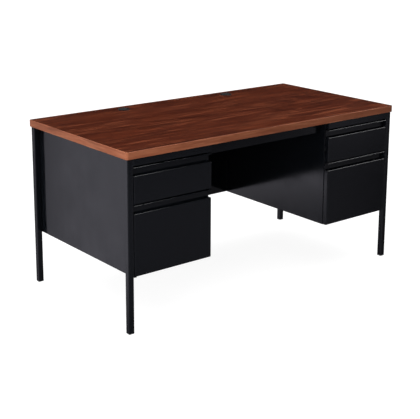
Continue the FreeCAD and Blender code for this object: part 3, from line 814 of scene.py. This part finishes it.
def make_tray(kind, side):
    """The drawer's body, folded from one sheet, and the wall at its back."""
    node = "%s_tray_%s" % (kind, side)
    low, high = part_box(node)
    half = TRAY_SHEET / 2
    bm = bmesh.new()
    folded_sheet(bm, [(low.x + TRAY_LIP, high.z - half), (low.x + half, high.z - half),
                      (low.x + half, low.z + half), (high.x - half, low.z + half),
                      (high.x - half, high.z - half), (high.x - TRAY_LIP, high.z - half)],
                 (low.y, high.y), "y", sheet=TRAY_SHEET, radius=TIGHT_BEND)
    stand_in(node, bm)
    make_flat("%s_back_wall_%s" % (kind, side))


# ------------------------------------------------------------ slides

# a member's depth, its sheet, the bend's radius, and 1 where it opens to the drawer or -1 to the case
SLIDE_MEMBERS = {
    "box_slide_fixed_": (7.8 * MM, SHEET, 2.4 * MM, 1),
    "box_slide_runner_": (7.0 * MM, SHEET, 2.4 * MM, -1),
    "file_slide_fixed_": (7.8 * MM, SHEET, 2.4 * MM, 1),
    "file_slide_middle_": (6.0 * MM, 1.0 * MM, 2.2 * MM, 1),
    "file_slide_runner_": (5.0 * MM, SHEET, 2.2 * MM, -1),
}


def slide_members(node, depth, sheet, radius, away):
    """Both members of a drawer's pair: channels whose long edges are rolled into ball races."""
    low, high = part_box(node)
    half = sheet / 2
    bm = bmesh.new()
    for edge, inwards in ((low.x, 1), (high.x, -1)):
        face = edge if away > 0 else edge + depth * inwards
        way = inwards * away
        folded_sheet(bm, [(face + way * depth, low.z + half), (face + way * half, low.z + half),
                          (face + way * half, high.z - half), (face + way * depth, high.z - half)],
                     (low.y, high.y), "y", sheet=sheet, radius=radius)
    stand_in(node, bm)


CAGE_SHEET = 0.8 * MM
CAGE_DEPTH = 5.7 * MM
CAGE_BEND = 1.2 * MM
BALL = 1.9 * MM
BALL_OFFSET = 3.5 * MM      # from the cage's face
BALL_END_GAP = 12 * MM
BALLS_IN_A_ROW = 9


def make_cage(side):
    """The strips that hold a box drawer's balls, and the balls."""
    node = "box_slide_cage_" + side
    low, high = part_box(node)
    half = CAGE_SHEET / 2
    bottom, top = low.z + BALL, high.z - BALL
    bm = bmesh.new()
    for edge, inwards in ((low.x, 1), (high.x, -1)):
        folded_sheet(bm, [(edge + inwards * CAGE_DEPTH, bottom), (edge + inwards * half, bottom),
                          (edge + inwards * half, top), (edge + inwards * CAGE_DEPTH, top)],
                     (low.y, high.y), "y", sheet=CAGE_SHEET, radius=CAGE_BEND)
        for number in range(BALLS_IN_A_ROW):
            along = (high.y - low.y - 2 * BALL_END_GAP) * number / (BALLS_IN_A_ROW - 1)
            for height in (bottom, top):
                middle = (edge + inwards * BALL_OFFSET, low.y + BALL_END_GAP + along, height)
                bmesh.ops.create_icosphere(bm, subdivisions=3, radius=BALL, matrix=Matrix.Translation(middle))
    stand_in(node, bm, edge=0)


RAIL_EDGE = 0.7 * MM


def make_hanging_rails(side):
    """Flat bars for hanging folders, with well rounded edges."""
    bm = bmesh.new()
    for low, high in separate_solids("file_hanging_rails_" + side):
        plate(bm, low, high)
    stand_in("file_hanging_rails_" + side, bm, edge=RAIL_EDGE)


def make_slides(side):
    """Every slide of a pedestal, with its balls and the folder rails."""
    for name, sizes in SLIDE_MEMBERS.items():
        slide_members(name + side, *sizes)
    make_cage(side)
    make_hanging_rails(side)


# ------------------------------------------------------------ studio

UP, DOWN = (0.0, 0.0, 1.0), (0.0, 0.0, -1.0)
GLOSS_TINT = (0.98, 0.95, 1.08)
WORLD_WHITE = (1.0, 1.0, 1.0)

# what gloss shows all round, as soft upright cards, in degrees from +X: where each card's middle is,
# how far from it the card is full, how far from it the card has faded out, the height (as the
# direction's z) where it fades in from below and is full, brightness
CARDS = (
    (124.0, 3.7, 5.8, -0.42, -0.34, 0.69),
    (133.4, 5.0, 6.1, -0.311, -0.241, 1.15),
    (180.0, 21.6, 36.0, -0.42, -0.34, 0.50),
    (0.0, 21.6, 36.9, -0.42, -0.34, 0.35),
    (-43.8, 1.8, 3.1, -0.25, -0.20, 0.24),
    (-90.0, 8.1, 30.7, -0.42, -0.34, 0.30),
    (90.0, 8.1, 27.0, -0.42, -0.34, 0.35),
)
CARD_FOOT = 0.08            # share of a card's brightness left where it has faded in from below

# one more card is the pale floor in front: it ends at a slanting line, where the dark wall begins
FLOOR_CARD = (-52.0, 8.5, 11.4, -0.42, -0.34, 0.10)
FLOOR_LINE = ((-0.218, 0.0, 1.0), -0.379, -0.370, 1.0, 0.0)

# gradients: the axis, the range along it, and the light at either end
OVERHEAD_FADE = (UP, 0.5, 0.8, 1.0, 0.15)
GLOSS_BELOW = (DOWN, -0.10, 0.15, 0.005, 0.045)
SOFT_LEFT = ((-0.95, 0.20, 0.10), 0.1, 1.0, 0.05, 1.9)
SOFT_ABOVE = (UP, 0.55, 1.0, 0.0, 2.7)
SOFT_FLOOR = (UP, -0.15, 0.05, 0.12, 1.0)


def gradient(tree, direction, axis, low, high, dark, light):
    """Goes smoothly from dark to light as the direction's product with an axis goes from low to high."""
    return add(tree, "ShaderNodeMapRange", {
        "Value": vector_node(tree, "DOT_PRODUCT", direction, axis, "Value"),
        "From Min": low, "From Max": high, "To Min": dark, "To Max": light,
    }, clamp=True, interpolation_type="SMOOTHSTEP").outputs["Result"]


def studio_card(tree, direction, level, card):
    """One upright card, seen in a direction whose level part is given too."""
    middle, full, gone, low, high, brightness = card
    axis = (math.cos(math.radians(middle)), math.sin(math.radians(middle)), 0.0)
    across = gradient(tree, level, axis, math.cos(math.radians(gone)), math.cos(math.radians(full)),
                      0.0, brightness)
    return product(tree, across, gradient(tree, direction, UP, low, high, CARD_FOOT, 1.0))


def either(tree, factor, first, second):
    """The first value where factor is 0, the second where it is 1."""
    return add(tree, "ShaderNodeMix", {"Factor": factor, "A": first, "B": second}).outputs[0]


def make_world():
    """A pale studio, bright from the left and above, that the camera sees as plain white.

    Gloss shows soft cards all round and a dark floor."""
    world = bpy.data.worlds.new("studio")
    bpy.context.scene.world = world
    world.use_nodes = True
    tree = world.node_tree
    tree.nodes.clear()
    direction = add(tree, "ShaderNodeTexCoord").outputs["Generated"]
    ray = add(tree, "ShaderNodeLightPath").outputs
    level = vector_node(tree, "NORMALIZE", vector_node(tree, "MULTIPLY", direction, (1.0, 1.0, 0.0)))
    cards = product(tree, studio_card(tree, direction, level, FLOOR_CARD),
                    gradient(tree, direction, *FLOOR_LINE))
    for card in CARDS:
        cards = math_node(tree, "MAXIMUM", studio_card(tree, direction, level, card), cards)
    glossy = total(tree, product(tree, cards, gradient(tree, direction, *OVERHEAD_FADE)),
                   gradient(tree, direction, *GLOSS_BELOW))
    soft = total(tree, gradient(tree, direction, *SOFT_LEFT), gradient(tree, direction, *SOFT_ABOVE))
    soft = product(tree, soft, gradient(tree, direction, *SOFT_FLOOR))
    strength = either(tree, ray["Is Camera Ray"], either(tree, ray["Is Glossy Ray"], soft, glossy), 1.0)
    tint = mix(tree, ray["Is Glossy Ray"], WORLD_WHITE, GLOSS_TINT)
    back = add(tree, "ShaderNodeBackground", {"Color": tint, "Strength": strength})
    out = add(tree, "ShaderNodeOutputWorld")
    tree.links.new(back.outputs[0], out.inputs["Surface"])
    world.cycles.sampling_method = "NONE"


# place from the desk's centre, width, depth, watts, whether it shows in gloss or else lights softly
PANELS = {
    "left_highlight": ((0.85, -1.1, 2.9), 0.9, 2.2, 46, True),
    "right_highlight": ((3.75, -1.1, 2.9), 1.7, 2.2, 85, True),
    "near_softbox": ((-1.9, -1.6, 0.45), 1.2, 1.2, 24, False),
}


def make_panel_light(name, offset, width, depth, power, glossy):
    """A panel light aimed at the desk, or one that faces straight down and only shows in gloss."""
    data = bpy.data.lights.new(name, "AREA")
    data.shape = "RECTANGLE"
    data.size, data.size_y = width, depth
    data.energy = power
    light = bpy.data.objects.new(name, data)
    bpy.context.scene.collection.objects.link(light)
    light.location = CENTRE + Vector(offset)
    light.visible_camera = False
    if glossy:
        light.visible_diffuse = False
    else:
        light.visible_glossy = False
        light.rotation_euler = (-Vector(offset)).to_track_quat("-Z", "Y").to_euler()


FLOOR_HALF = 40
FLOOR_GREYS = (0.20,) * 3, (0.22,) * 3
FLOOR_GLOW = 0.90           # keeps the floor pale right up to the desk


def make_floor():
    """A wide, pale, matt floor."""
    bm = bmesh.new()
    bmesh.ops.create_grid(bm, x_segments=8, y_segments=8, size=FLOOR_HALF)
    mesh = bpy.data.meshes.new("floor")
    bm.to_mesh(mesh)
    bm.free()
    floor = bpy.data.objects.new("floor", mesh)
    bpy.context.scene.collection.objects.link(floor)
    floor.location.z = cad_low.z
    material, tree, shader = new_material("pale_floor")
    mottle = noise(tree, place(tree), scale=3, detail=3)
    shade = mix(tree, mottle, *FLOOR_GREYS)
    connect(tree, shader, Base_Color=shade, Roughness=0.9, Specular_IOR_Level=0.2,
            Emission_Color=(1.0, 1.0, 1.0), Emission_Strength=FLOOR_GLOW)
    mesh.materials.append(material)
    floor.visible_glossy = False
    floor.visible_diffuse = False


# ------------------------------------------------------------ the scene

make_edge_band()
make_worktop_screws()
make_glides()
make_case()
for side_name in SIDES:
    make_grommet(side_name)
    for row_name in ("front", "rear"):
        make_leg("leg_%s_%s" % (row_name, side_name))
    for kind_name in KINDS:
        make_front(kind_name, side_name)
        make_tray(kind_name, side_name)
    make_slides(side_name)
make_floor()
make_world()
for panel_name, panel in PANELS.items():
    make_panel_light(panel_name, *panel)
bpy.context.scene.view_settings.view_transform = "Standard"
